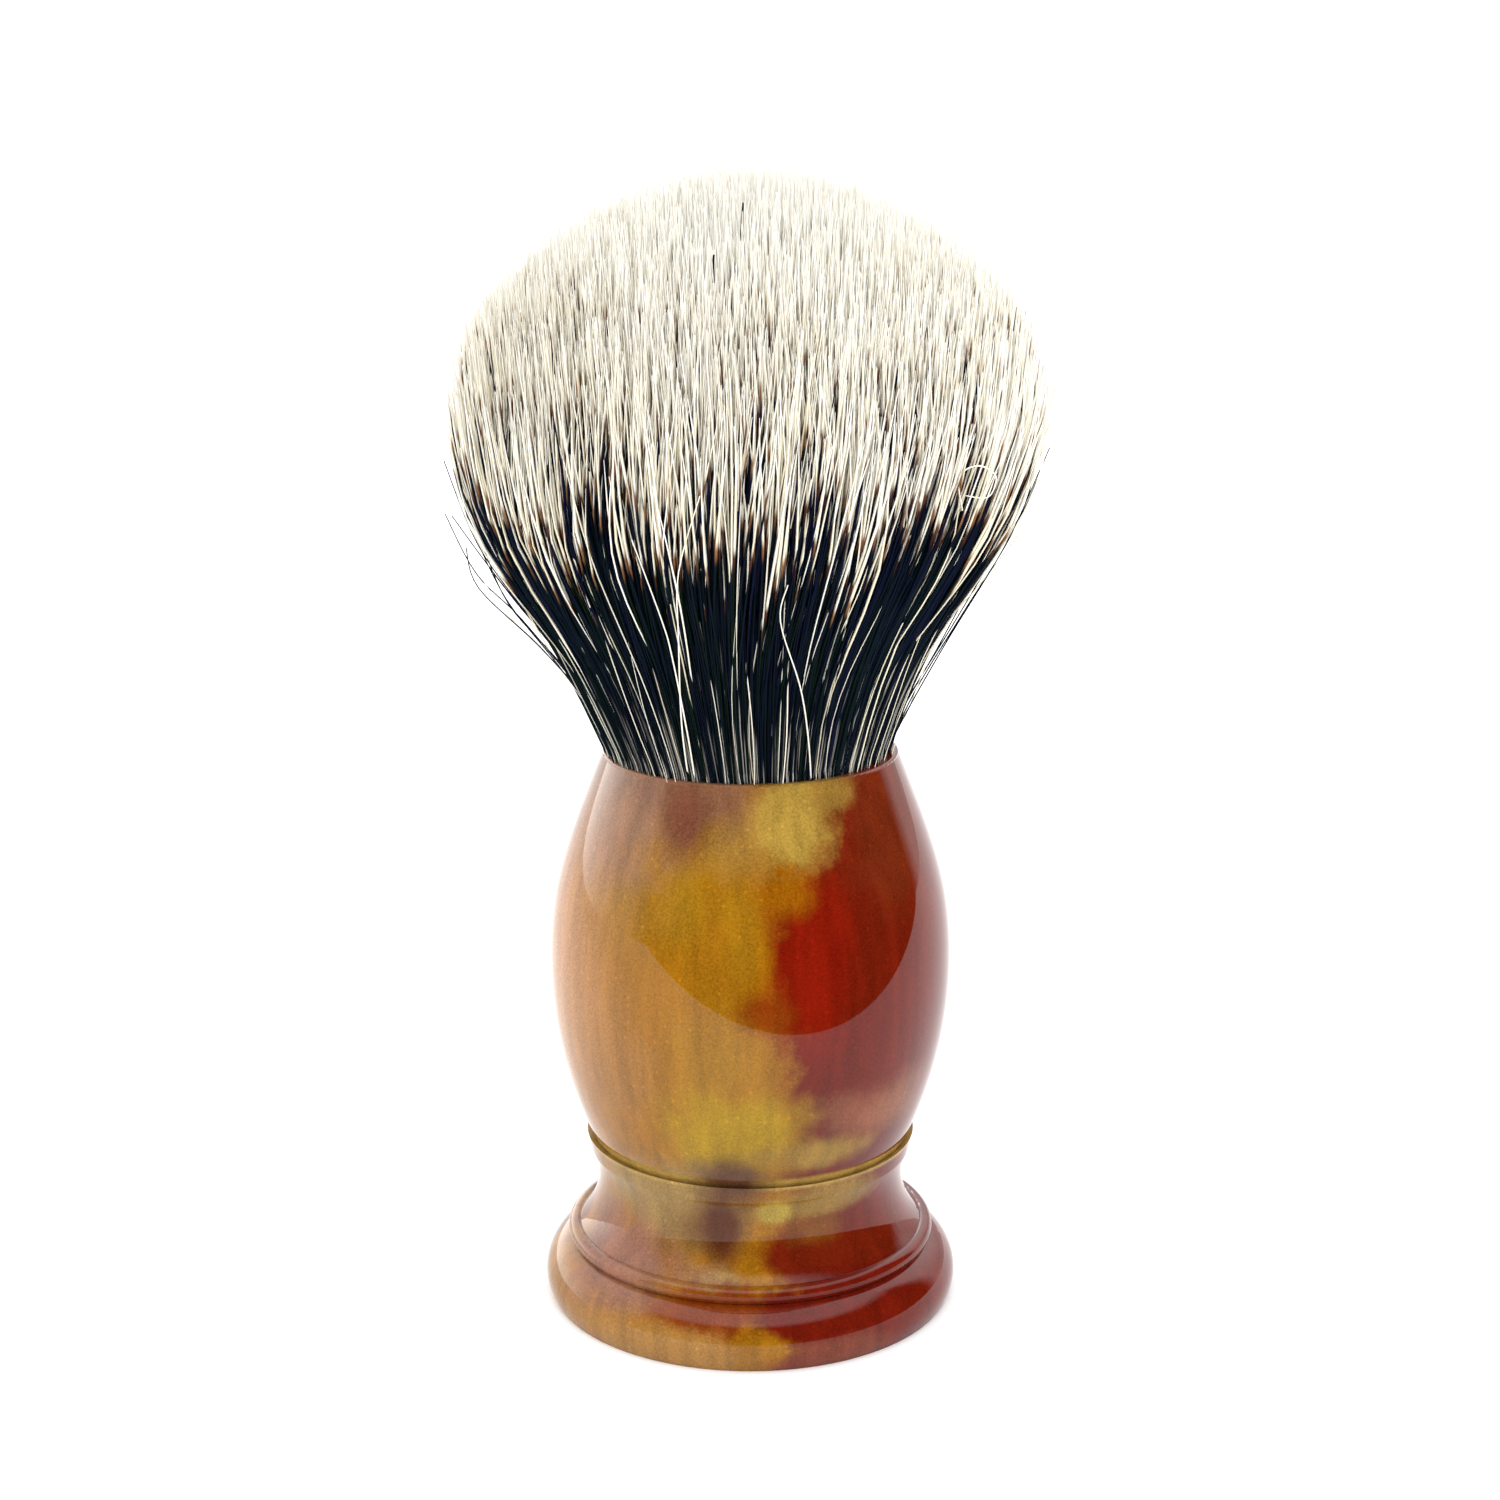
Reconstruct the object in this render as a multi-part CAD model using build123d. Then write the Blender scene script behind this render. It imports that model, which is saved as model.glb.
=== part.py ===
"""A shaving brush: a turned cast-resin handle with a bound and glued knot of two-band badger hair in its socket.

The row frame has +Z up along the turning axis, with the origin at the centre of the flat base. Sizes are in
millimetres. The knot stands in a blind socket: thread binds the hair roots, a cast plug grips them, a moulded
collar sleeves the plug, and adhesive beds the collar in the socket. The free hair is split from the gripped
roots by a ball-shaped gap about the bending point, so that it can turn there as the springy hair bends.
"""

import os
from math import cos, hypot, radians, sin, tan

from build123d import *

# Driving sizes of the handle
BASE_RADIUS = 19.9  # edge of the flat that the brush stands on
FOOT_RADIUS = 20.4  # widest point of the foot roll
BARREL_RADIUS = 19.5  # widest point of the barrel
LIP_RADIUS = 14.2  # outside of the socket's lip
HANDLE_HEIGHT = 55.4

# Driving sizes of the knot
KNOT_RADIUS = 13.0  # a 26 mm knot
LOFT = 55.0  # free hair above the lip, along the axis
SOCKET_DEPTH = 20.4
SOCKET_GAP = 0.2  # room round the knot for adhesive
HAIR_FLARE = 30.0  # degrees that the outermost hair leans out at the lip
HAIR_SIDE = (22.6, 72.6)
HAIR_WIDEST = (26.9, 86.0)
HAIR_SHOULDER = (22.3, 99.0)

# Bending of the free hair
BEND_DEPTH = 5.4  # bending point below the lip
ROOT_BALL = 16.3  # radius of the fixed roots about the bending point
BEND_GAP = 0.3  # clearance between the fixed roots and the free hair

# Worked out from the driving sizes
SOCKET_RADIUS = KNOT_RADIUS + SOCKET_GAP
SOCKET_FLOOR = HANDLE_HEIGHT - SOCKET_DEPTH
BEND_HEIGHT = HANDLE_HEIGHT - BEND_DEPTH
HAIR_TOP = HANDLE_HEIGHT + LOFT

# Turned details of the handle, from the base up
FOOT_WIDEST = 2.4  # height of the foot roll's widest point
FOOT_TOP = 5.75  # groove between the foot roll and the bead
GROOVE_RADIUS = 17.7
BEAD_RADIUS = 18.1
BEAD_MIDDLE = 6.8
BEAD_SHOULDER = (17.0, 7.3)
NECK_RADIUS = 15.15  # middle of the cove
NECK_HEIGHT = 11.0
COLLAR_FOOT = (15.8, 15.15)  # lower edge of the turned collar
COLLAR_EDGE = (16.15, 16.8)  # sharp upper edge of the turned collar
BARREL_FOOT = (15.5, 16.6)  # where the barrel runs into the collar
BARREL_LOW = (18.4, 25.0)
BARREL_WIDEST_HEIGHT = 34.5
BARREL_HIGH = (18.85, 41.5)
BARREL_SHOULDER = (16.8, 48.4)
LIP_ROUND = 0.3
GLUE_KEY_DEPTH = 0.4
GLUE_KEY_WIDTH = 1.0
GLUE_KEY_HEIGHTS = (39.5, 43.5)  # middles of the two grooves in the socket wall

# Pieces in the socket
BED_THICKNESS = 0.6  # adhesive under the knot
BOND_TOP = HANDLE_HEIGHT - 3.4  # adhesive stops short of the lip
COLLAR_WALL = 0.5
COLLAR_HEIGHT = 11.2
PLUG_FLOOR = 3.0
PLUG_HEIGHT = 10.2
PLUG_WALL = 1.0
PLUG_ROUND = 1.2
THREAD_RADIUS = 0.3
THREAD_TURNS = 4
THREAD_PITCH = 0.66
THREAD_CLEARANCE = 0.02
ROOT_CLEARANCE = 0.1  # hair at the lip stands this far off the socket wall

KNOT_FOOT = SOCKET_FLOOR + BED_THICKNESS
PLUG_TOP = KNOT_FOOT + PLUG_HEIGHT
PLUG_RADIUS = KNOT_RADIUS - COLLAR_WALL
ROOT_RADIUS = PLUG_RADIUS - PLUG_WALL
WAIST_TOP = PLUG_TOP + 2 * THREAD_RADIUS + THREAD_TURNS * THREAD_PITCH + 0.3


def turned(outline):
    """A closed outline in the XZ plane, turned once about Z."""
    return revolve(make_face(outline), Axis.Z)


def at(radius, height):
    return (radius, 0, height)


def straight(*points):
    return Polyline(*[at(*point) for point in points])


def ring(inner, outer, low, high):
    return turned(straight((inner, low), (outer, low), (outer, high), (inner, high), (inner, low)))


def point_on_cone(height):
    """Radius of the outermost hair at a height above the lip."""
    return SOCKET_RADIUS - ROOT_CLEARANCE + (height - HANDLE_HEIGHT) * tan(radians(HAIR_FLARE))


def cone_meets_ball(radius):
    """Where the outermost hair crosses a ball about the bending point, by halving the span of heights."""
    low, high = HANDLE_HEIGHT, HANDLE_HEIGHT + radius
    for _ in range(50):
        middle = (low + high) / 2
        if hypot(point_on_cone(middle), middle - BEND_HEIGHT) < radius:
            low = middle
        else:
            high = middle
    return (point_on_cone(low), low)


def on_ball(radius, angle):
    """A point on a ball about the bending point; the angle is from straight up, in degrees."""
    return (radius * sin(radians(angle)), BEND_HEIGHT + radius * cos(radians(angle)))


def handle():
    """One turned piece: foot roll, bead, cove, sharp collar and barrel, with a blind socket for the knot."""
    outline = [
        straight((0, 0), (BASE_RADIUS, 0)),
        ThreePointArc(at(BASE_RADIUS, 0), at(FOOT_RADIUS, FOOT_WIDEST), at(GROOVE_RADIUS, FOOT_TOP)),
        ThreePointArc(at(GROOVE_RADIUS, FOOT_TOP), at(BEAD_RADIUS, BEAD_MIDDLE), at(*BEAD_SHOULDER)),
        ThreePointArc(at(*BEAD_SHOULDER), at(NECK_RADIUS, NECK_HEIGHT), at(*COLLAR_FOOT)),
        straight(COLLAR_FOOT, COLLAR_EDGE, BARREL_FOOT),
        Spline(
            at(*BARREL_FOOT),
            at(*BARREL_LOW),
            at(BARREL_RADIUS, BARREL_WIDEST_HEIGHT),
            at(*BARREL_HIGH),
            at(*BARREL_SHOULDER),
            at(LIP_RADIUS, HANDLE_HEIGHT - LIP_ROUND),
        ),
        ThreePointArc(
            at(LIP_RADIUS, HANDLE_HEIGHT - LIP_ROUND),
            at(LIP_RADIUS - LIP_ROUND * (1 - cos(radians(45))), HANDLE_HEIGHT - LIP_ROUND * (1 - sin(radians(45)))),
            at(LIP_RADIUS - LIP_ROUND, HANDLE_HEIGHT),
        ),
        straight(
            (LIP_RADIUS - LIP_ROUND, HANDLE_HEIGHT),
            (SOCKET_RADIUS, HANDLE_HEIGHT),
            (SOCKET_RADIUS, SOCKET_FLOOR),
            (0, SOCKET_FLOOR),
            (0, 0),
        ),
    ]
    body = turned(outline)
    for height in GLUE_KEY_HEIGHTS:
        body -= glue_key(height)
    return body


def glue_key(height):
    """The groove that keys the adhesive to the socket wall."""
    half = GLUE_KEY_WIDTH / 2
    return ring(SOCKET_RADIUS, SOCKET_RADIUS + GLUE_KEY_DEPTH, height - half, height + half)


def socket_adhesive():
    """A cup of set adhesive: a bed under the knot, a sleeve round it and a rib in each glue key."""
    cup = turned(
        straight(
            (0, SOCKET_FLOOR),
            (SOCKET_RADIUS, SOCKET_FLOOR),
            (SOCKET_RADIUS, BOND_TOP),
            (KNOT_RADIUS, BOND_TOP),
            (KNOT_RADIUS, KNOT_FOOT),
            (0, KNOT_FOOT),
            (0, SOCKET_FLOOR),
        )
    )
    for height in GLUE_KEY_HEIGHTS:
        cup += glue_key(height)
    return cup


def knot_collar():
    """The thin moulded sleeve round the plug."""
    return ring(PLUG_RADIUS, KNOT_RADIUS, KNOT_FOOT, KNOT_FOOT + COLLAR_HEIGHT)


def glue_plug():
    """The cast plug: a floor under the hair roots and a wall round them."""
    return turned(
        [
            straight((0, KNOT_FOOT), (PLUG_RADIUS - PLUG_ROUND, KNOT_FOOT)),
            ThreePointArc(
                at(PLUG_RADIUS - PLUG_ROUND, KNOT_FOOT),
                at(
                    PLUG_RADIUS - PLUG_ROUND * (1 - sin(radians(45))),
                    KNOT_FOOT + PLUG_ROUND * (1 - cos(radians(45))),
                ),
                at(PLUG_RADIUS, KNOT_FOOT + PLUG_ROUND),
            ),
            straight(
                (PLUG_RADIUS, KNOT_FOOT + PLUG_ROUND),
                (PLUG_RADIUS, PLUG_TOP),
                (ROOT_RADIUS, PLUG_TOP),
                (ROOT_RADIUS, KNOT_FOOT + PLUG_FLOOR),
                (0, KNOT_FOOT + PLUG_FLOOR),
                (0, KNOT_FOOT),
            ),
        ]
    )


def binding_thread():
    """The whipping: one thread wound round the waist of the roots, just above the plug."""
    turn_radius = ROOT_RADIUS + THREAD_RADIUS + THREAD_CLEARANCE
    path = Helix(THREAD_PITCH, THREAD_PITCH * THREAD_TURNS, turn_radius)
    section = Plane(origin=path @ 0, z_dir=path % 0) * Circle(THREAD_RADIUS)
    wound = sweep(section, path=path, is_frenet=True)
    return Pos(0, 0, PLUG_TOP + THREAD_RADIUS + THREAD_CLEARANCE) * wound


def hair_roots():
    """The packed hair that doesn't bend: gripped in the plug, waisted by the thread, and domed above the lip."""
    edge = cone_meets_ball(ROOT_BALL)
    edge_angle = 90 - degrees_up(edge)
    return turned(
        [
            straight(
                (0, KNOT_FOOT + PLUG_FLOOR),
                (ROOT_RADIUS, KNOT_FOOT + PLUG_FLOOR),
                (ROOT_RADIUS, WAIST_TOP),
                (KNOT_RADIUS - ROOT_CLEARANCE, BOND_TOP),
                (SOCKET_RADIUS - ROOT_CLEARANCE, HANDLE_HEIGHT),
                edge,
            ),
            ThreePointArc(
                at(*edge),
                at(*on_ball(ROOT_BALL, edge_angle / 2)),
                at(0, BEND_HEIGHT + ROOT_BALL),
            ),
            straight((0, BEND_HEIGHT + ROOT_BALL), (0, KNOT_FOOT + PLUG_FLOOR)),
        ]
    )


def degrees_up(point):
    """The angle above level, in degrees, of a point seen from the bending point."""
    return Vector(point[0], 0, point[1] - BEND_HEIGHT).get_angle(Vector(1, 0, 0))


def hair_bundle():
    """The free hair: a flared side under a round dome, hollowed below to clear the fixed roots."""
    hollow = ROOT_BALL + BEND_GAP
    edge = cone_meets_ball(hollow)
    edge_angle = 90 - degrees_up(edge)
    return turned(
        [
            ThreePointArc(
                at(0, BEND_HEIGHT + hollow),
                at(*on_ball(hollow, edge_angle / 2)),
                at(*edge),
            ),
            Spline(
                at(*edge),
                at(*HAIR_SIDE),
                at(*HAIR_WIDEST),
                at(*HAIR_SHOULDER),
                at(0, HAIR_TOP),
                tangents=(at(sin(radians(HAIR_FLARE)), cos(radians(HAIR_FLARE))), at(-1, 0)),
            ),
            straight((0, HAIR_TOP), (0, BEND_HEIGHT + hollow)),
        ]
    )


PIECES = {
    "handle": handle,
    "socket_adhesive": socket_adhesive,
    "knot_collar": knot_collar,
    "glue_plug": glue_plug,
    "binding_thread": binding_thread,
    "hair_roots": hair_roots,
    "hair_bundle": hair_bundle,
}

os.makedirs("parts", exist_ok=True)
for name, build in PIECES.items():
    export_step(build(), f"parts/{name}.step")
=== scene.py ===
import math

import bmesh
import bpy
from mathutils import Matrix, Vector


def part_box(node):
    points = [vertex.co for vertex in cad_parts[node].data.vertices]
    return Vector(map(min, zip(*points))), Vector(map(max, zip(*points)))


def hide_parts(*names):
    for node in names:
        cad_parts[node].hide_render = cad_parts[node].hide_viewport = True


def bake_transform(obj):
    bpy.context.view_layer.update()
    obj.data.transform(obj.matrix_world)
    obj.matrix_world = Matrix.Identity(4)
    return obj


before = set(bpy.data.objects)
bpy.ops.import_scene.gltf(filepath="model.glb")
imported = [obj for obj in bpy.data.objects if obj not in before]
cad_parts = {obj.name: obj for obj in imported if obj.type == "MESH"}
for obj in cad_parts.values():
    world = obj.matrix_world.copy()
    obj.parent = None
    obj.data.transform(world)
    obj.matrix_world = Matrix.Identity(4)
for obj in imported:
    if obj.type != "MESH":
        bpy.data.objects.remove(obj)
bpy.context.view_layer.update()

mm = 0.001
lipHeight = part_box("handle")[1].z
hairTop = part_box("hair_bundle")[1].z
print("stage 1: frame loaded, lip at", round(lipHeight / mm, 1), "mm")


def addNode(tree, kind, inputs=None, **settings):
    node = tree.nodes.new(kind)
    for name, value in settings.items():
        setattr(node, name, value)
    for key, value in (inputs or {}).items():
        feed(tree, node.inputs[key], value)
    return node


def feed(tree, socket, value):
    # a socket takes either another node's output or a plain value
    if isinstance(value, bpy.types.NodeSocket):
        tree.links.new(value, socket)
    else:
        socket.default_value = value


def calc(tree, operation, *values):
    node = addNode(tree, "ShaderNodeMath", operation=operation)
    for socket, value in zip(node.inputs, values):
        feed(tree, socket, value)
    return node.outputs[0]


def vectorCalc(tree, operation, *values):
    node = addNode(tree, "ShaderNodeVectorMath", operation=operation)
    for socket, value in zip(node.inputs, values):
        feed(tree, socket, value)
    return node.outputs["Value" if operation in ("LENGTH", "DOT_PRODUCT", "DISTANCE") else "Vector"]


def scaleVector(tree, vector, factor):
    node = addNode(tree, "ShaderNodeVectorMath", {0: vector, "Scale": factor}, operation="SCALE")
    return node.outputs[0]


def remap(tree, value, fromLow, fromHigh, toLow=0.0, toHigh=1.0, smooth=False):
    kind = "SMOOTHSTEP" if smooth else "LINEAR"
    node = addNode(tree, "ShaderNodeMapRange", interpolation_type=kind)
    for key, entry in zip(range(5), (value, fromLow, fromHigh, toLow, toHigh)):
        feed(tree, node.inputs[key], entry)
    return node.outputs[0]


def mixColor(tree, factor, first, second):
    node = addNode(tree, "ShaderNodeMix", data_type="RGBA")
    feed(tree, node.inputs[0], factor)
    feed(tree, node.inputs[6], first)
    feed(tree, node.inputs[7], second)
    return node.outputs[2]


def newMaterial(name):
    material = bpy.data.materials.new(name)
    material.use_nodes = True
    tree = material.node_tree
    tree.nodes.clear()
    shader = addNode(tree, "ShaderNodeBsdfPrincipled")
    output = addNode(tree, "ShaderNodeOutputMaterial")
    tree.links.new(shader.outputs[0], output.inputs[0])
    return material, tree, shader


def newGroup(name, inputs, outputs):
    group = bpy.data.node_groups.new(name, "ShaderNodeTree")
    for label, kind, value in inputs:
        socket = group.interface.new_socket(label, in_out="INPUT", socket_type=kind)
        socket.default_value = value
    for label, kind in outputs:
        group.interface.new_socket(label, in_out="OUTPUT", socket_type=kind)
    return group, group.nodes.new("NodeGroupInput"), group.nodes.new("NodeGroupOutput")


def useGroup(tree, group, inputs):
    node = tree.nodes.new("ShaderNodeGroup")
    node.node_tree = group
    for key, value in inputs.items():
        feed(tree, node.inputs[key], value)
    return node


def meshPiece(name, build):
    mesh = bpy.data.meshes.new(name)
    work = bmesh.new()
    build(work)
    bmesh.ops.recalc_face_normals(work, faces=work.faces)
    work.to_mesh(mesh)
    work.free()
    piece = bpy.data.objects.new(name, mesh)
    bpy.context.scene.collection.objects.link(piece)
    mesh.shade_smooth()
    return piece


def latheBuilder(outline, steps):
    # a closed outline of (radius, height), turned about Z; a zero radius closes a pole
    def build(work):
        rings = []
        for radius, height in outline:
            if radius < 1e-6:
                rings.append([work.verts.new((0, 0, height))])
                continue
            ring = []
            for step in range(steps):
                angle = 2 * math.pi * step / steps
                ring.append(work.verts.new((radius * math.cos(angle), radius * math.sin(angle), height)))
            rings.append(ring)
        for lower, upper in zip(rings, rings[1:]):
            for step in range(steps):
                after = (step + 1) % steps
                corners = [lower[step % len(lower)], lower[after % len(lower)],
                           upper[after % len(upper)], upper[step % len(upper)]]
                work.faces.new(list(dict.fromkeys(corners)))
    return build


cameraSettings = {
    "lens": 65.0,
    "sensor": 36.0,
    "place": (-0.00003, -0.2515, 0.1199),
    "pitch": 14.45,  # degrees down
}


def makeCamera():
    camera = bpy.data.objects.new("camera", bpy.data.cameras.new("camera"))
    bpy.context.scene.collection.objects.link(camera)
    camera.data.lens = cameraSettings["lens"]
    camera.data.sensor_width = cameraSettings["sensor"]
    camera.data.clip_start = 0.01
    camera.location = cameraSettings["place"]
    camera.rotation_euler = (math.radians(90 - cameraSettings["pitch"]), 0, 0)
    bpy.context.scene.camera = camera


makeCamera()


speckleShape = {
    "stretch": 0.10,  # streaks are ten times as tall as wide
    "streakScale": 620.0,
    "fleckScale": 800.0,
    "fleckEdge": (0.10, 0.16),
}


def makeSpeckleGroup():
    # fine grain, upright streaks and bright flecks: a factor round 1 that multiplies a colour
    group, inside, outside = newGroup(
        "fineSpeckle",
        [("Scale", "NodeSocketFloat", 2500.0), ("Grain", "NodeSocketFloat", 0.1),
         ("Streak", "NodeSocketFloat", 0.0), ("Fleck", "NodeSocketFloat", 0.0)],
        [("Factor", "NodeSocketFloat"), ("Grain", "NodeSocketFloat")],
    )
    place = addNode(group, "ShaderNodeTexCoord").outputs["Object"]
    grain = addNode(group, "ShaderNodeTexNoise", {"Vector": place, "Detail": 2.0,
                                                  "Scale": inside.outputs["Scale"]})
    swing = remap(group, grain.outputs["Fac"], 0.3, 0.7, -1.0, 1.0)
    upright = addNode(group, "ShaderNodeMapping", {"Vector": place,
                                                   "Scale": (1, 1, speckleShape["stretch"])})
    streaks = addNode(group, "ShaderNodeTexNoise", {"Vector": upright.outputs[0], "Detail": 2.0,
                                                    "Scale": speckleShape["streakScale"]})
    run = remap(group, streaks.outputs["Fac"], 0.3, 0.7, -1.0, 1.0)
    dots = addNode(group, "ShaderNodeTexVoronoi", {"Vector": place, "Scale": speckleShape["fleckScale"]})
    fleck = remap(group, dots.outputs["Distance"], *speckleShape["fleckEdge"], 1.0, 0.0)
    factor = calc(group, "MULTIPLY_ADD", swing, inside.outputs["Grain"], 1.0)
    factor = calc(group, "MULTIPLY_ADD", run, inside.outputs["Streak"], factor)
    factor = calc(group, "MULTIPLY_ADD", fleck, inside.outputs["Fleck"], factor)
    group.links.new(factor, outside.inputs["Factor"])
    group.links.new(swing, outside.inputs["Grain"])
    return group


def makeCloudGroup():
    # one soft-edged cloud of colour on the resin, with a wandering border: mostly colour cast in the resin,
    # in two places painted light
    group, inside, outside = newGroup(
        "resinCloud",
        [("Under", "NodeSocketColor", (0.5, 0.2, 0.05, 1)),
         ("Colour", "NodeSocketColor", (0.5, 0.2, 0.05, 1)),
         ("Centre", "NodeSocketVector", (0, 0, 0)), ("Reach", "NodeSocketVector", (0.01, 0.01, 0.01)),
         ("Softness", "NodeSocketFloat", 0.5), ("Wander", "NodeSocketFloat", 0.5),
         ("Strength", "NodeSocketFloat", 1.0)],
        [("Colour", "NodeSocketColor")],
    )
    place = addNode(group, "ShaderNodeTexCoord")
    offset = vectorCalc(group, "SUBTRACT", place.outputs["Object"], inside.outputs["Centre"])
    away = vectorCalc(group, "DIVIDE", offset, inside.outputs["Reach"])
    distance = vectorCalc(group, "LENGTH", away)
    drift = addNode(group, "ShaderNodeTexNoise", {"Vector": place.outputs["Object"], "Scale": 170.0,
                                                  "Detail": 5.0, "Roughness": 0.6})
    swing = remap(group, drift.outputs["Fac"], 0.3, 0.7, -1.0, 1.0)
    edge = calc(group, "MULTIPLY_ADD", swing, inside.outputs["Wander"], distance)
    start = calc(group, "SUBTRACT", 1.0, inside.outputs["Softness"])
    end = calc(group, "ADD", 1.0, inside.outputs["Softness"])
    mask = remap(group, edge, start, end, 1.0, 0.0, smooth=True)
    strength = calc(group, "MULTIPLY", mask, inside.outputs["Strength"])
    mixed = mixColor(group, strength, inside.outputs["Under"], inside.outputs["Colour"])
    group.links.new(mixed, outside.inputs["Colour"])
    return group


speckleGroup = makeSpeckleGroup()
cloudGroup = makeCloudGroup()


resinSettings = {
    "amber": (0.235, 0.095, 0.004),
    "red": (0.105, 0.008, 0.002),
    "olive": (0.24, 0.14, 0.02),
    "speckleScale": 5200.0,
    "grain": 0.22,
    "streak": 0.17,
    "fleck": 0.28,
    "roughness": 0.03,
    "ior": 1.35,
}
# each cloud: colour, then centre and reach in mm, how soft and how wandering its edge is, how strong
resinCloudsAndPaintedLight = [
    # the red side
    {"colour": (0.105, 0.007, 0.0018), "centre": (23, -8, 30), "reach": (21.5, 26, 60),
     "soft": 0.08, "wander": 0.10},
    {"colour": (0.150, 0.006, 0.0015), "centre": (5.5, -18, 40), "reach": (4.5, 6, 8), "soft": 0.5},
    {"colour": (0.120, 0.020, 0.0050), "centre": (14, -10, 51), "reach": (6, 8, 8),
     "soft": 0.5, "strength": 0.6},
    {"colour": (0.215, 0.070, 0.0015), "centre": (2.9, -19.4, 47.6), "reach": (3.0, 5, 3.3), "soft": 0.5},
    {"colour": (0.215, 0.078, 0.0020), "centre": (-0.4, -19.5, 40.5), "reach": (2.2, 5, 4.5), "soft": 0.4},
    {"colour": (0.160, 0.026, 0.0020), "centre": (1.2, -19.5, 35.2), "reach": (2.4, 5, 1.8), "soft": 0.6},
    {"colour": (0.090, 0.010, 0.0060), "centre": (6.8, -17, 22.5), "reach": (2.5, 4, 3.5), "soft": 0.5},
    # golden wisps and brown smoke on the amber side, and painted light down its left rim
    {"colour": (0.225, 0.115, 0.006), "centre": (-6, -16.5, 45), "reach": (2.5, 4, 3.5), "soft": 0.7,
     "strength": 0.7},
    {"colour": (0.240, 0.120, 0.006), "centre": (-0.9, -18.5, 42.5), "reach": (1.6, 4, 4.5), "soft": 0.7,
     "strength": 0.6},
    {"colour": (0.225, 0.110, 0.014), "centre": (-11, -13, 46), "reach": (5, 6, 5),
     "soft": 0.6, "strength": 0.7},
    {"colour": (0.205, 0.098, 0.048), "centre": (-13, -9, 52), "reach": (8, 9, 6.5), "soft": 0.5},
    {"colour": (0.230, 0.120, 0.022), "centre": (-1, -15.5, 50.8), "reach": (3.4, 5, 3.2), "soft": 0.6},
    {"colour": (0.165, 0.072, 0.036), "centre": (-5.5, -13, 55), "reach": (6.5, 7, 4.0), "soft": 0.5},
    {"colour": (0.120, 0.040, 0.022), "centre": (-5.8, -14.3, 52.2), "reach": (1.6, 3, 2.4), "soft": 0.9},
    {"colour": (0.255, 0.115, 0.030), "centre": (-13, -13, 29), "reach": (4, 7, 6),
     "soft": 0.6, "strength": 0.7},
    {"colour": (0.240, 0.120, 0.008), "centre": (-3, -18, 30), "reach": (4, 4, 5),
     "soft": 0.7, "strength": 0.6},
    # painted light: a pale wash down the left rim, standing in for the bright light that falls on it from
    # the left
    {"colour": (0.350, 0.172, 0.075), "centre": (-20, -4, 36.5), "reach": (6, 12, 12.5),
     "soft": 0.9, "wander": 0.1},
    # the olive patches at the lip and over the collar
    {"colour": (0.275, 0.170, 0.030), "centre": (4.2, -14.5, 52.4), "reach": (3.8, 6, 4.3), "soft": 0.4,
     "wander": 0.4},
    {"colour": (0.220, 0.120, 0.022), "centre": (7.4, -13, 54.2), "reach": (2.0, 4, 1.6), "soft": 0.6},
    {"colour": (0.260, 0.150, 0.004), "centre": (-1.5, -17.5, 22.5), "reach": (6.5, 7, 4.5), "soft": 0.5},
    {"colour": (0.190, 0.060, 0.028), "centre": (12, -12.5, 23.8), "reach": (5, 6, 2.6), "soft": 0.7},
    {"colour": (0.215, 0.120, 0.020), "centre": (6.2, -15.5, 20.2), "reach": (5, 6, 1.5), "soft": 0.6},
    # neck
    {"colour": (0.230, 0.140, 0.040), "centre": (-8, -14, 14), "reach": (7, 8, 4.5), "soft": 0.4},
    {"colour": (0.200, 0.110, 0.022), "centre": (7, -14, 14.6), "reach": (6, 5, 2.2), "soft": 0.4},
    # painted highlight: a thin pale olive ring round the groove above the collar, lightening its shaded
    # line
    {"colour": (0.320, 0.200, 0.050), "centre": (0, 0, 17.0), "reach": (40, 40, 0.5),
     "soft": 0.5, "wander": 0},
    {"colour": (0.080, 0.032, 0.014), "centre": (-1.2, -16, 17.4), "reach": (3.0, 4, 2.4), "soft": 0.8},
    {"colour": (0.280, 0.190, 0.030), "centre": (2.3, -15.3, 14), "reach": (1.6, 3, 1.3),
     "soft": 0.4, "wander": 0.1},
    {"colour": (0.100, 0.008, 0.002), "centre": (10, -13, 9.6), "reach": (10, 8, 3.4),
     "soft": 0.15, "wander": 0.1},
    {"colour": (0.130, 0.060, 0.014), "centre": (-5.8, -15.3, 11.6), "reach": (2.4, 4, 2.2), "soft": 0.8},
    {"colour": (0.070, 0.018, 0.006), "centre": (-2.7, -15.5, 12.0), "reach": (1.9, 4, 3.4), "soft": 0.8},
    {"colour": (0.140, 0.045, 0.005), "centre": (6.4, -15, 11.7), "reach": (3.2, 4, 1.5), "soft": 0.6},
    {"colour": (0.260, 0.180, 0.030), "centre": (-3, -17.8, 7.5), "reach": (1.8, 3, 1.0), "soft": 0.4},
    {"colour": (0.230, 0.120, 0.060), "centre": (-6.5, -18.5, 8.2), "reach": (4.5, 4, 1.0), "soft": 0.6},
    {"colour": (0.190, 0.075, 0.040), "centre": (-13, -12, 8), "reach": (6, 8, 4), "soft": 0.5},
    # foot
    {"colour": (0.100, 0.006, 0.002), "centre": (10, -18, 5.0), "reach": (14, 10, 3.0), "soft": 0.25},
    {"colour": (0.150, 0.026, 0.003), "centre": (-4, -19, 5.0), "reach": (5, 8, 2.2), "soft": 0.5},
    {"colour": (0.270, 0.130, 0.030), "centre": (-9, -19, 1.4), "reach": (11, 8, 2.2), "soft": 0.4},
    {"colour": (0.140, 0.028, 0.012), "centre": (8, -19, 0.8), "reach": (7, 8, 1.8), "soft": 0.4},
]


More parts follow.
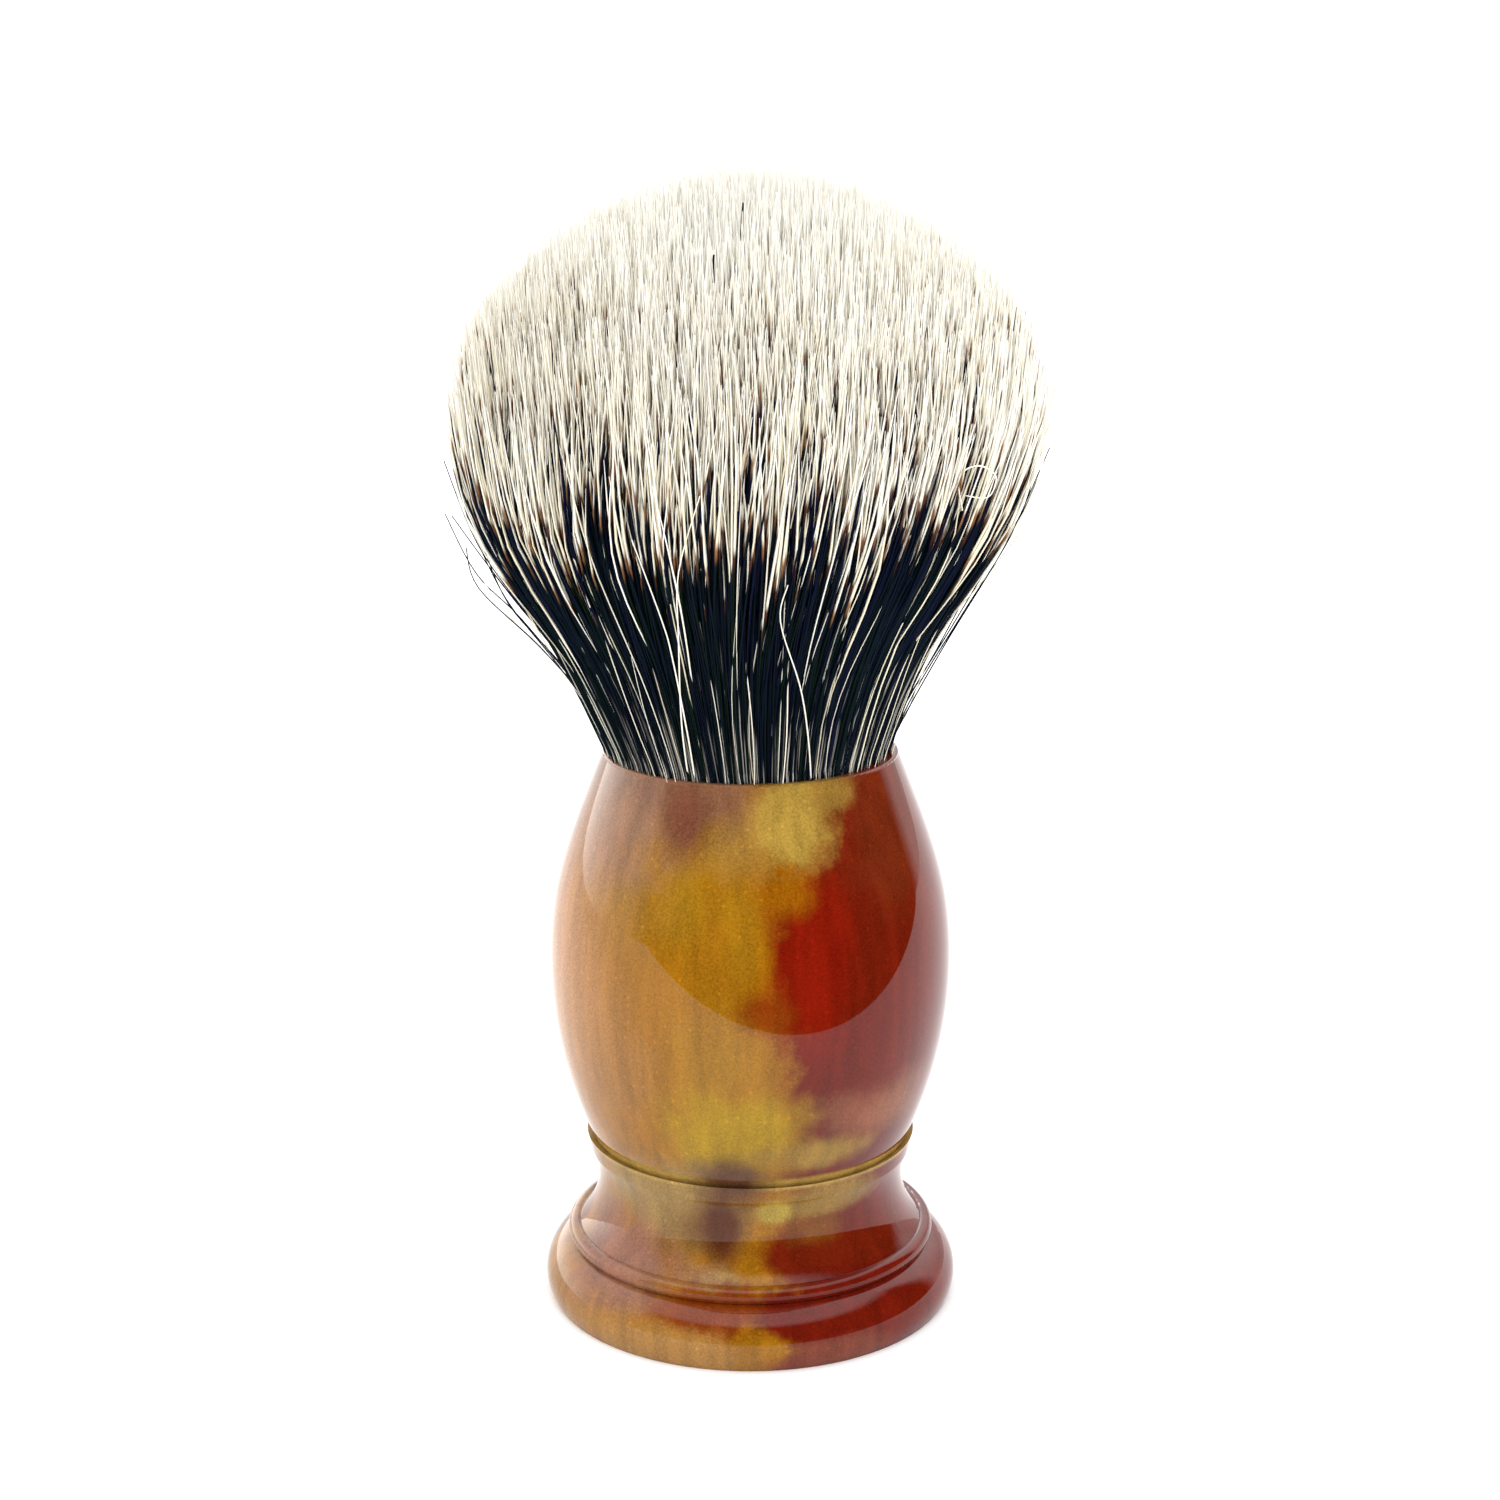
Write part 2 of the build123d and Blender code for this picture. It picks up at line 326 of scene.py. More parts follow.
marbling = {
    "stretch": 0.45,  # veins and wisps run upright
    "veinScale": 62.0,
    "veinEdge": (0.50, 0.60),
    "wispScale": 105.0,
    "wispEdge": (0.56, 0.68),
    "wispStrength": 0.8,
    "plainSide": (-10 * mm, 2 * mm),  # Y where the plain front gives way to the veins
}


def makeMarbling(tree):
    # amber with red veins and a few olive wisps, on every side of the handle
    place = addNode(tree, "ShaderNodeTexCoord").outputs["Object"]
    tall = addNode(tree, "ShaderNodeMapping", {"Vector": place,
                                               "Scale": (1, 1, marbling["stretch"])}).outputs[0]
    veins = addNode(tree, "ShaderNodeTexNoise", {"Vector": tall, "Scale": marbling["veinScale"],
                                                 "Detail": 4.0, "Roughness": 0.45,
                                                 "Distortion": 0.7}).outputs["Fac"]
    wisps = addNode(tree, "ShaderNodeTexNoise", {"Vector": tall, "Scale": marbling["wispScale"],
                                                 "Detail": 3.0, "Distortion": 1.2}).outputs["Color"]
    wisp = addNode(tree, "ShaderNodeSeparateColor", {0: wisps}).outputs[1]
    amber, red, olive = ((*resinSettings[name], 1) for name in ("amber", "red", "olive"))
    isVein = remap(tree, veins, *marbling["veinEdge"], smooth=True)
    isWisp = remap(tree, wisp, *marbling["wispEdge"], 0.0, marbling["wispStrength"], smooth=True)
    colour = mixColor(tree, isWisp, mixColor(tree, isVein, amber, red), olive)
    # the side towards the light was poured plain, so the clouds alone colour it
    depth = addNode(tree, "ShaderNodeSeparateXYZ", {0: place}).outputs["Y"]
    isPlain = remap(tree, depth, *marbling["plainSide"], 1.0, 0.0, smooth=True)
    return mixColor(tree, isPlain, colour, amber)


def makeResin():
    material, tree, shader = newMaterial("marbledResin")
    colour = makeMarbling(tree)
    for cloud in resinCloudsAndPaintedLight:
        node = useGroup(tree, cloudGroup, {
            "Under": colour, "Colour": (*cloud["colour"], 1),
            "Centre": [value * mm for value in cloud["centre"]],
            "Reach": [value * mm for value in cloud["reach"]],
            "Softness": cloud["soft"], "Wander": cloud.get("wander", 0.35),
            "Strength": cloud.get("strength", 1.0),
        })
        colour = node.outputs["Colour"]
    speckle = useGroup(tree, speckleGroup, {
        "Scale": resinSettings["speckleScale"], "Grain": resinSettings["grain"],
        "Streak": resinSettings["streak"], "Fleck": resinSettings["fleck"],
    })
    grained = scaleVector(tree, colour, speckle.outputs["Factor"])
    tree.links.new(grained, shader.inputs["Base Color"])
    shader.inputs["Roughness"].default_value = resinSettings["roughness"]
    shader.inputs["IOR"].default_value = resinSettings["ior"]
    return material


def dress(nodeName, material):
    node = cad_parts[nodeName]
    node.data.materials.clear()
    node.data.materials.append(material)


dress("handle", makeResin())
print("stage 2: handle")


# inside the handle, out of sight
innerFinishes = {
    "socket_adhesive": {"colour": (0.6, 0.5, 0.28), "shade": (0.45, 0.36, 0.2),
                        "scale": 300.0, "roughness": 0.25},
    "knot_collar": {"colour": (0.75, 0.73, 0.68), "shade": (0.66, 0.64, 0.6),
                    "scale": 900.0, "roughness": 0.45},
    "glue_plug": {"colour": (0.3, 0.17, 0.06), "shade": (0.2, 0.11, 0.04),
                  "scale": 250.0, "roughness": 0.3},
    "binding_thread": {"colour": (0.72, 0.68, 0.58), "shade": (0.5, 0.46, 0.38),
                       "scale": 4000.0, "roughness": 0.8},
}


def makeInnerFinish(name, finish):
    material, tree, shader = newMaterial(name + "Finish")
    speckle = useGroup(tree, speckleGroup, {"Scale": finish["scale"]})
    blend = remap(tree, speckle.outputs["Grain"], -1.0, 1.0)
    mixed = mixColor(tree, blend, (*finish["colour"], 1), (*finish["shade"], 1))
    tree.links.new(mixed, shader.inputs["Base Color"])
    shader.inputs["Roughness"].default_value = finish["roughness"]
    return material


for innerName, innerFinish in innerFinishes.items():
    dress(innerName, makeInnerFinish(innerName, innerFinish))


bandColumns = 64  # separate hair tones across the hair's own map
paleColumns = 8  # the first of them are hairs that are white all along
bandSpan = 0.075  # metres of hair that the map's height holds, from the tip down
hairTones = {
    "tipWhite": (0.94, 0.94, 0.92),
    "creamLight": (0.92, 0.89, 0.78), "creamDeep": (0.84, 0.76, 0.57),
    "rustLight": (0.27, 0.13, 0.055), "rustDark": (0.055, 0.014, 0.011),
    "blackBlue": (0.0035, 0.0055, 0.022), "blackGreen": (0.0028, 0.0105, 0.0050),
    "rootLight": (0.82, 0.79, 0.70), "rootDark": (0.10, 0.09, 0.09),
}
hairBands = {
    "whiteFade": 5.0,  # mm from the tip
    "creamLength": (2.3, 11.8),  # mm from the tip, shortest and longest
    "darkLength": (18.0, 28.0),  # mm of dark band under it
    "darkRoots": 0.42,  # share of the tones that stay dark to the root
}


def makeHairMaterial():
    material, tree, shader = newMaterial("twoBandHair")
    place = addNode(tree, "ShaderNodeUVMap", uv_map="OFBake")
    split = addNode(tree, "ShaderNodeSeparateXYZ", {0: place.outputs[0]})
    column = calc(tree, "FLOOR", calc(tree, "MULTIPLY", split.outputs["X"], float(bandColumns)))
    chance = addNode(tree, "ShaderNodeTexWhiteNoise", {"W": column}, noise_dimensions="1D")
    chances = addNode(tree, "ShaderNodeSeparateColor", {0: chance.outputs["Color"]})
    depth = calc(tree, "MULTIPLY", split.outputs["Y"], bandSpan / mm)  # mm below the tip
    first, second, third = (chances.outputs[number] for number in range(3))
    tone = {name: (*value, 1) for name, value in hairTones.items()}

    cream = mixColor(tree, first, tone["creamDeep"], tone["creamLight"])
    whiteness = remap(tree, depth, 0.0, hairBands["whiteFade"], 0.7, 0.0)
    cream = mixColor(tree, whiteness, cream, tone["tipWhite"])
    black = mixColor(tree, second, tone["blackBlue"], tone["blackGreen"])
    rust = mixColor(tree, third, tone["rustDark"], tone["rustLight"])
    root = mixColor(tree, first, tone["rootDark"], tone["rootLight"])

    creamEnd = remap(tree, second, 0.0, 1.0, *hairBands["creamLength"])
    below = calc(tree, "SUBTRACT", depth, creamEnd)
    darkEnd = remap(tree, first, 0.0, 1.0, *hairBands["darkLength"])
    toRoot = remap(tree, calc(tree, "SUBTRACT", below, darkEnd), 0.0, 3.0, smooth=True)
    palesAgain = calc(tree, "GREATER_THAN", third, hairBands["darkRoots"])
    colour = mixColor(tree, remap(tree, below, -1.0, 0.2, smooth=True), cream, rust)
    colour = mixColor(tree, remap(tree, below, 0.2, 1.7, smooth=True), colour, black)
    colour = mixColor(tree, calc(tree, "MULTIPLY", toRoot, palesAgain), colour, root)
    colour = mixColor(tree, calc(tree, "LESS_THAN", column, float(paleColumns)), colour, cream)
    tree.links.new(colour, shader.inputs["Base Color"])
    shader.inputs["Roughness"].default_value = 0.6
    shader.inputs["Specular IOR Level"].default_value = 0.04
    return material


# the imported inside, seen only between the hairs: dark below, pale above, with a ragged border
coreFinish = {
    "stretch": 0.06,  # streaks run upright
    "streakScale": 1800.0,
    "ragged": 0.03,
    "border": (0.080, 0.094),  # metres above the foot
    "dark": ((0.002, 0.003, 0.008, 1), (0.012, 0.01, 0.01, 1)),
    "pale": ((0.20, 0.13, 0.07, 1), (0.6, 0.55, 0.42, 1)),
}


def makeCoreMaterial():
    material, tree, shader = newMaterial("packedHair")
    place = addNode(tree, "ShaderNodeTexCoord")
    stretched = addNode(tree, "ShaderNodeMapping", {"Vector": place.outputs["Object"],
                                                    "Scale": (1, 1, coreFinish["stretch"])})
    streaks = addNode(tree, "ShaderNodeTexNoise", {"Vector": stretched.outputs[0], "Detail": 3.0,
                                                   "Scale": coreFinish["streakScale"]})
    height = addNode(tree, "ShaderNodeSeparateXYZ", {0: place.outputs["Object"]}).outputs["Z"]
    swing = calc(tree, "SUBTRACT", streaks.outputs["Fac"], 0.5)
    ragged = calc(tree, "MULTIPLY_ADD", swing, coreFinish["ragged"], height)
    dark = mixColor(tree, streaks.outputs["Fac"], *coreFinish["dark"])
    pale = mixColor(tree, streaks.outputs["Fac"], *coreFinish["pale"])
    colour = mixColor(tree, remap(tree, ragged, *coreFinish["border"]), dark, pale)
    tree.links.new(colour, shader.inputs["Base Color"])
    shader.inputs["Roughness"].default_value = 0.8
    return material


hairMaterial = makeHairMaterial()
coreMaterial = makeCoreMaterial()


hairShape = {
    "rootHeight": lipHeight - 4 * mm,
    "rootRadius": 13.0 * mm,
    "beltHeight": 88.5 * mm,  # where the outermost tips end
    "beltRadius": 26.8 * mm,
    # growth of the bundle's radius from root to belt, both as shares
    "flare": [(0.0, 0.0), (0.11, 0.04), (0.232, 0.155), (0.353, 0.305), (0.461, 0.470), (0.571, 0.650),
              (0.677, 0.805), (0.771, 0.900), (0.879, 0.960), (1.0, 0.965)],
    "lean": -0.9 * mm,  # how far the waist of the bundle swings to the left
    "domeRound": (1.85, 0.55),  # how the tip heights round off towards the edge
}


strandShape = {
    "sides": 3,
    "rootThickness": 0.5,  # shares of the strand's full thickness
    "tipThickness": 0.22,
    "tipLength": 7 * mm,
    "thickness": (0.36, 0.6),  # radius as a share of the asked width
    "clumps": 30.0,  # groups across the bundle
    "clumpPower": 2.0,  # how late along the strand the leaning sets in
    "strayPower": 3.0,
}
# how much deeper (plus) or shallower (minus) the colour bands lie, in mm
bandShift = {
    "crown": (-8.5, -1.4),  # at the middle of the bundle and near its outside
    "outer": (1.8, -0.6),  # just behind the outermost hairs, and on them
    "patch": (-2.5, 2.5),
    "patchScale": 5.0,
    "single": (-1.0, 1.5),
}
hairSockets = [
    ("Count", "NodeSocketInt", 1000),
    ("Seed", "NodeSocketInt", 1),
    ("Steps", "NodeSocketInt", 8),
    ("Inner Share", "NodeSocketFloat", 0.0),
    ("Outer Share", "NodeSocketFloat", 1.0),
    ("Start", "NodeSocketFloat", 0.0),
    ("Width", "NodeSocketFloat", 0.0002),
    ("Tip Scatter", "NodeSocketFloat", 0.002),
    ("Stray", "NodeSocketFloat", 0.0015),
    ("Bow", "NodeSocketFloat", 0.0006),
    ("Clump", "NodeSocketFloat", 0.3),
    ("Pale Share", "NodeSocketFloat", 0.15),
    ("Material", "NodeSocketMaterial", None),
]


def makeSockets(tree):
    for label, kind, value in hairSockets:
        socket = tree.interface.new_socket(label, in_out="INPUT", socket_type=kind)
        if value is not None:
            socket.default_value = value
    tree.interface.new_socket("Geometry", in_out="OUTPUT", socket_type="NodeSocketGeometry")
    return tree.nodes.new("NodeGroupInput").outputs, tree.nodes.new("NodeGroupOutput")


def makeChance(tree, seed):
    # gives random values that are the same for all points of a strand
    strandNumber = addNode(tree, "GeometryNodeCurveOfPoint").outputs["Curve Index"]

    def chance(low, high, extra):
        node = addNode(tree, "FunctionNodeRandomValue", data_type="FLOAT")
        feed(tree, node.inputs[2], low)
        feed(tree, node.inputs[3], high)
        tree.links.new(strandNumber, node.inputs["ID"])
        tree.links.new(calc(tree, "ADD", seed, float(extra)), node.inputs["Seed"])
        return node.outputs[1]
    return chance


def tipHeight(tree, asked, chance, share):
    # the tip's height on the dome, less a little scatter
    edge, rounding = hairShape["domeRound"]
    inward = calc(tree, "MAXIMUM", calc(tree, "SUBTRACT", 1.0, calc(tree, "POWER", share, edge)), 0.0)
    roundness = calc(tree, "POWER", inward, rounding)
    belt = hairShape["beltHeight"]
    top = calc(tree, "MULTIPLY_ADD", roundness, hairTop - belt, belt)
    uneven = calc(tree, "POWER", chance(0.0, 1.0, 300), 2.0)
    return calc(tree, "SUBTRACT", top, calc(tree, "MULTIPLY", uneven, asked["Tip Scatter"]))


def bundleRadius(tree, climb):
    flare = addNode(tree, "ShaderNodeFloatCurve", {"Value": climb})
    for x, y in hairShape["flare"][1:-1]:
        flare.mapping.curves[0].points.new(x, y)
    flare.mapping.update()
    root = hairShape["rootRadius"]
    return calc(tree, "MULTIPLY_ADD", flare.outputs[0], hairShape["beltRadius"] - root, root)


def pairVector(tree, x, y):
    return addNode(tree, "ShaderNodeCombineXYZ", {0: x, 1: y}).outputs[0]


def strandPlace(tree, asked, chance, strand):
    # neighbours lean together, single hairs bow and stray
    climb = calc(tree, "DIVIDE", calc(tree, "SUBTRACT", strand["height"], hairShape["rootHeight"]),
                 hairShape["beltHeight"] - hairShape["rootHeight"])
    grown = bundleRadius(tree, climb)
    radius = calc(tree, "MULTIPLY", strand["share"], grown)
    cells = addNode(tree, "ShaderNodeTexVoronoi", {"Vector": strand["rootPlace"],
                                                   "Scale": strandShape["clumps"]})
    toMiddle = vectorCalc(tree, "SUBTRACT", cells.outputs["Position"], strand["rootPlace"])
    ownWay = pairVector(tree, chance(-1.0, 1.0, 400), chance(-1.0, 1.0, 500))
    ownBow = pairVector(tree, chance(-1.0, 1.0, 600), chance(-1.0, 1.0, 700))
    reach = strand["reach"]
    leaning = calc(tree, "MULTIPLY", calc(tree, "MULTIPLY", asked["Clump"], grown),
                   calc(tree, "POWER", reach, strandShape["clumpPower"]))
    straying = calc(tree, "MULTIPLY", asked["Stray"], calc(tree, "POWER", reach, strandShape["strayPower"]))
    arch = calc(tree, "SINE", calc(tree, "MULTIPLY", reach, 2 * math.pi))
    bowing = calc(tree, "MULTIPLY", asked["Bow"], arch)
    waist = calc(tree, "MAXIMUM", calc(tree, "SINE", calc(tree, "MULTIPLY", climb, math.pi)), 0.0)
    sideways = calc(tree, "MULTIPLY", calc(tree, "MULTIPLY", waist, hairShape["lean"]), strand["share"])
    place = addNode(tree, "ShaderNodeCombineXYZ", {
        0: calc(tree, "MULTIPLY_ADD", strand["cosine"], radius, sideways),
        1: calc(tree, "MULTIPLY", strand["sine"], radius),
        2: strand["height"],
    }).outputs[0]
    for direction, amount in ((toMiddle, leaning), (ownWay, straying), (ownBow, bowing)):
        place = vectorCalc(tree, "ADD", place, scaleVector(tree, direction, amount))
    return place


def strandThickness(tree, asked, chance, strand):
    # thin at the root, full below the tip, then drawn to a point
    body = remap(tree, strand["reach"], 0.05, 0.65, strandShape["rootThickness"], 1.0)
    point = remap(tree, strand["below"], 0.0, strandShape["tipLength"], strandShape["tipThickness"], 1.0)
    full = calc(tree, "MULTIPLY", asked["Width"], chance(*strandShape["thickness"], 800))
    return calc(tree, "MULTIPLY", calc(tree, "MULTIPLY", body, point), full)


def strandTone(tree, asked, chance):
    # the map's column: one of the first few for a hair that is pale all along
    pale = calc(tree, "LESS_THAN", chance(0.0, 1.0, 1100), asked["Pale Share"])
    lowest = calc(tree, "MULTIPLY", calc(tree, "SUBTRACT", 1.0, pale), float(paleColumns))
    highest = remap(tree, pale, 0.0, 1.0, float(bandColumns), float(paleColumns))
    return calc(tree, "FLOOR", chance(lowest, highest, 900))


def strandDown(tree, chance, strand):
    # the map's height: depth below the tip, as a share of the span that the map holds
    kinds = ("crown", "outer", "patch", "single")
    shift = {name: [value * mm for value in bandShift[name]] for name in kinds}
    outerShift = remap(tree, strand["share"], 0.90, 1.0, *shift["outer"])
    crownShift = calc(tree, "ADD", remap(tree, strand["share"], 0.0, 0.92, *shift["crown"]), outerShift)
    patches = addNode(tree, "ShaderNodeTexNoise", {"Vector": strand["rootPlace"], "Detail": 1.0,
                                                   "Scale": bandShift["patchScale"]})
    patchShift = remap(tree, patches.outputs["Fac"], 0.3, 0.7, *shift["patch"])
    moved = calc(tree, "ADD", calc(tree, "ADD", crownShift, patchShift), chance(*shift["single"], 1000))
    depth = calc(tree, "MAXIMUM", calc(tree, "ADD", strand["below"], moved), 0.2 * mm)
    return calc(tree, "MINIMUM", calc(tree, "DIVIDE", depth, bandSpan), 0.995)


def keepValues(tree, geometry, values):
    keeper = addNode(tree, "GeometryNodeCaptureAttribute", domain="POINT")
    for label in values:
        keeper.capture_items.new("FLOAT", label)
    tree.links.new(geometry, keeper.inputs["Geometry"])
    for label, value in values.items():
        tree.links.new(value, keeper.inputs[label])
    return keeper.outputs


def strandTubes(tree, strands, thickness):
    section = addNode(tree, "GeometryNodeCurvePrimitiveCircle", {"Resolution": strandShape["sides"],
                                                                 "Radius": 1.0})
    turn = addNode(tree, "GeometryNodeSplineParameter").outputs["Factor"]
    around = keepValues(tree, section.outputs[0], {"Around": turn})
    sized = addNode(tree, "GeometryNodeSetCurveRadius", {"Curve": strands["Geometry"], "Radius": thickness})
    tubes = addNode(tree, "GeometryNodeCurveToMesh", {"Curve": sized.outputs[0], "Fill Caps": True,
                                                      "Profile Curve": around["Geometry"]})
    if "Scale" in tubes.inputs:  # newer releases don't scale the section by the curve's radius
        tree.links.new(addNode(tree, "GeometryNodeInputRadius").outputs[0], tubes.inputs["Scale"])
    column = calc(tree, "ADD", strands["Tone"], remap(tree, around["Around"], 0.0, 0.67, 0.15, 0.85))
    mapPlace = pairVector(tree, calc(tree, "DIVIDE", column, float(bandColumns)), strands["Down"])
    return addNode(tree, "GeometryNodeStoreNamedAttribute",
                   {"Geometry": tubes.outputs[0], "Name": "OFBake", "Value": mapPlace},
                   data_type="FLOAT2", domain="CORNER").outputs[0]


def makeHairTree():
    tree = bpy.data.node_groups.new("hairBundle", "GeometryNodeTree")
    tree.is_modifier = True
    asked, result = makeSockets(tree)
    line = addNode(tree, "GeometryNodeCurvePrimitiveLine")
    copies = addNode(tree, "GeometryNodeDuplicateElements",
                     {"Geometry": line.outputs[0], "Amount": asked["Count"]}, domain="SPLINE")
    strands = addNode(tree, "GeometryNodeResampleCurve",
                      {"Curve": copies.outputs["Geometry"], "Count": asked["Steps"]})

    # place in the bundle, as a share of its radius and an angle
    chance = makeChance(tree, asked["Seed"])
    innerSquare = calc(tree, "POWER", asked["Inner Share"], 2.0)
    outerSquare = calc(tree, "POWER", asked["Outer Share"], 2.0)
    share = calc(tree, "SQRT", chance(innerSquare, outerSquare, 100))
    angle = chance(0.0, 2 * math.pi, 200)
    cosine = calc(tree, "COSINE", angle)
    sine = calc(tree, "SINE", angle)

    # height along the strand
    tip = tipHeight(tree, asked, chance, share)
    root = hairShape["rootHeight"]
    along = addNode(tree, "GeometryNodeSplineParameter").outputs["Factor"]
    grownPart = calc(tree, "MULTIPLY", along, calc(tree, "SUBTRACT", 1.0, asked["Start"]))
    reach = calc(tree, "ADD", asked["Start"], grownPart)
    height = calc(tree, "MULTIPLY_ADD", reach, calc(tree, "SUBTRACT", tip, root), root)
    rootPlace = pairVector(tree, calc(tree, "MULTIPLY", cosine, share), calc(tree, "MULTIPLY", sine, share))
    strand = {
        "share": share,
        "cosine": cosine,
        "sine": sine,
        "rootPlace": rootPlace,
        "reach": reach,
        "height": height,
        "below": calc(tree, "SUBTRACT", tip, height),
    }

    place = strandPlace(tree, asked, chance, strand)
    placed = addNode(tree, "GeometryNodeSetPosition", {"Geometry": strands.outputs[0], "Position": place})
    kept = keepValues(tree, placed.outputs[0], {"Tone": strandTone(tree, asked, chance),
                                                "Down": strandDown(tree, chance, strand)})
    tubes = strandTubes(tree, kept, strandThickness(tree, asked, chance, strand))
    smooth = addNode(tree, "GeometryNodeSetShadeSmooth", {"Geometry": tubes, "Shade Smooth": True})
    real = addNode(tree, "GeometryNodeRealizeInstances", {"Geometry": smooth.outputs[0]})
    finished = addNode(tree, "GeometryNodeSetMaterial", {"Geometry": real.outputs[0],
                                                         "Material": asked["Material"]})
    tree.links.new(finished.outputs[0], result.inputs["Geometry"])
    return tree


hairTree = makeHairTree()

outerHair = {"Count": 4000, "Steps": 9, "Inner Share": 0.80, "Outer Share": 1.0, "Start": 0.0,
             "Width": 0.28 * mm, "Tip Scatter": 6.0 * mm, "Stray": 2.2 * mm, "Bow": 0.35 * mm,
             "Clump": 0.2, "Pale Share": 0.025}
crownHair = {"Count": 7400, "Steps": 5, "Inner Share": 0.0, "Outer Share": 0.93, "Start": 0.62,
             "Width": 0.28 * mm, "Tip Scatter": 5.0 * mm, "Stray": 2.2 * mm, "Bow": 0.3 * mm,
             "Clump": 0.3, "Pale Share": 0.05}
guardHair = {"Count": 190, "Steps": 16, "Inner Share": 0.96, "Outer Share": 1.01, "Start": 0.0,
             "Width": 0.16 * mm, "Tip Scatter": 7.0 * mm, "Stray": 3.2 * mm, "Bow": 0.8 * mm,
             "Clump": 0.0, "Pale Share": 1.0}
hairPieces = {
    "hair_outer_1": (outerHair, 11), "hair_outer_2": (outerHair, 12), "hair_outer_3": (outerHair, 13),
    "hair_crown_1": (crownHair, 21), "hair_crown_2": (crownHair, 22), "hair_crown_3": (crownHair, 23),
    "hair_guard": (guardHair, 31),
}


def growHair(name, settings, seed):
    grower = bpy.data.objects.new(name + "_grower", bpy.data.meshes.new(name + "_grower"))
    bpy.context.scene.collection.objects.link(grower)
    modifier = grower.modifiers.new("hair", "NODES")
    modifier.node_group = hairTree
    sockets = {item.name: item.identifier for item in hairTree.interface.items_tree
               if item.in_out == "INPUT"}
    for label, value in settings.items():
        modifier[sockets[label]] = value
    modifier[sockets["Seed"]] = seed
    modifier[sockets["Material"]] = hairMaterial
    evaluated = grower.evaluated_get(bpy.context.evaluated_depsgraph_get())
    mesh = bpy.data.meshes.new_from_object(evaluated)
    mesh.name = name
    bpy.data.objects.remove(grower)
    piece = bpy.data.objects.new(name, mesh)
    bpy.context.scene.collection.objects.link(piece)
    return piece


def finishHair(piece):
    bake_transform(piece)


for hairName, (hairSettings, hairSeed) in hairPieces.items():
    hairPiece = growHair(hairName, hairSettings, hairSeed)
    finishHair(hairPiece)
    print("stage 3:", hairName, len(hairPiece.data.polygons), "faces")


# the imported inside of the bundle, kept well below the tips: radius and height in mm
coreShape = {
    "steps": 96,
    "outline": [(0, 42), (11.2, 42), (11.2, 50), (12.2, lipHeight / mm - 1), (12.8, 60), (15.8, 67),
                (18.8, 75), (20.5, 82), (20, 90), (16, 97), (9.5, 101.5), (4.5, 102.8), (0, 103)],
}


def makeCore():
    outline = [(radius * mm, height * mm) for radius, height in coreShape["outline"]]
    core = meshPiece("hair_core", latheBuilder(outline, coreShape["steps"]))
    core.data.materials.append(coreMaterial)
    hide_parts("hair_roots", "hair_bundle")
    finishHair(core)


makeCore()


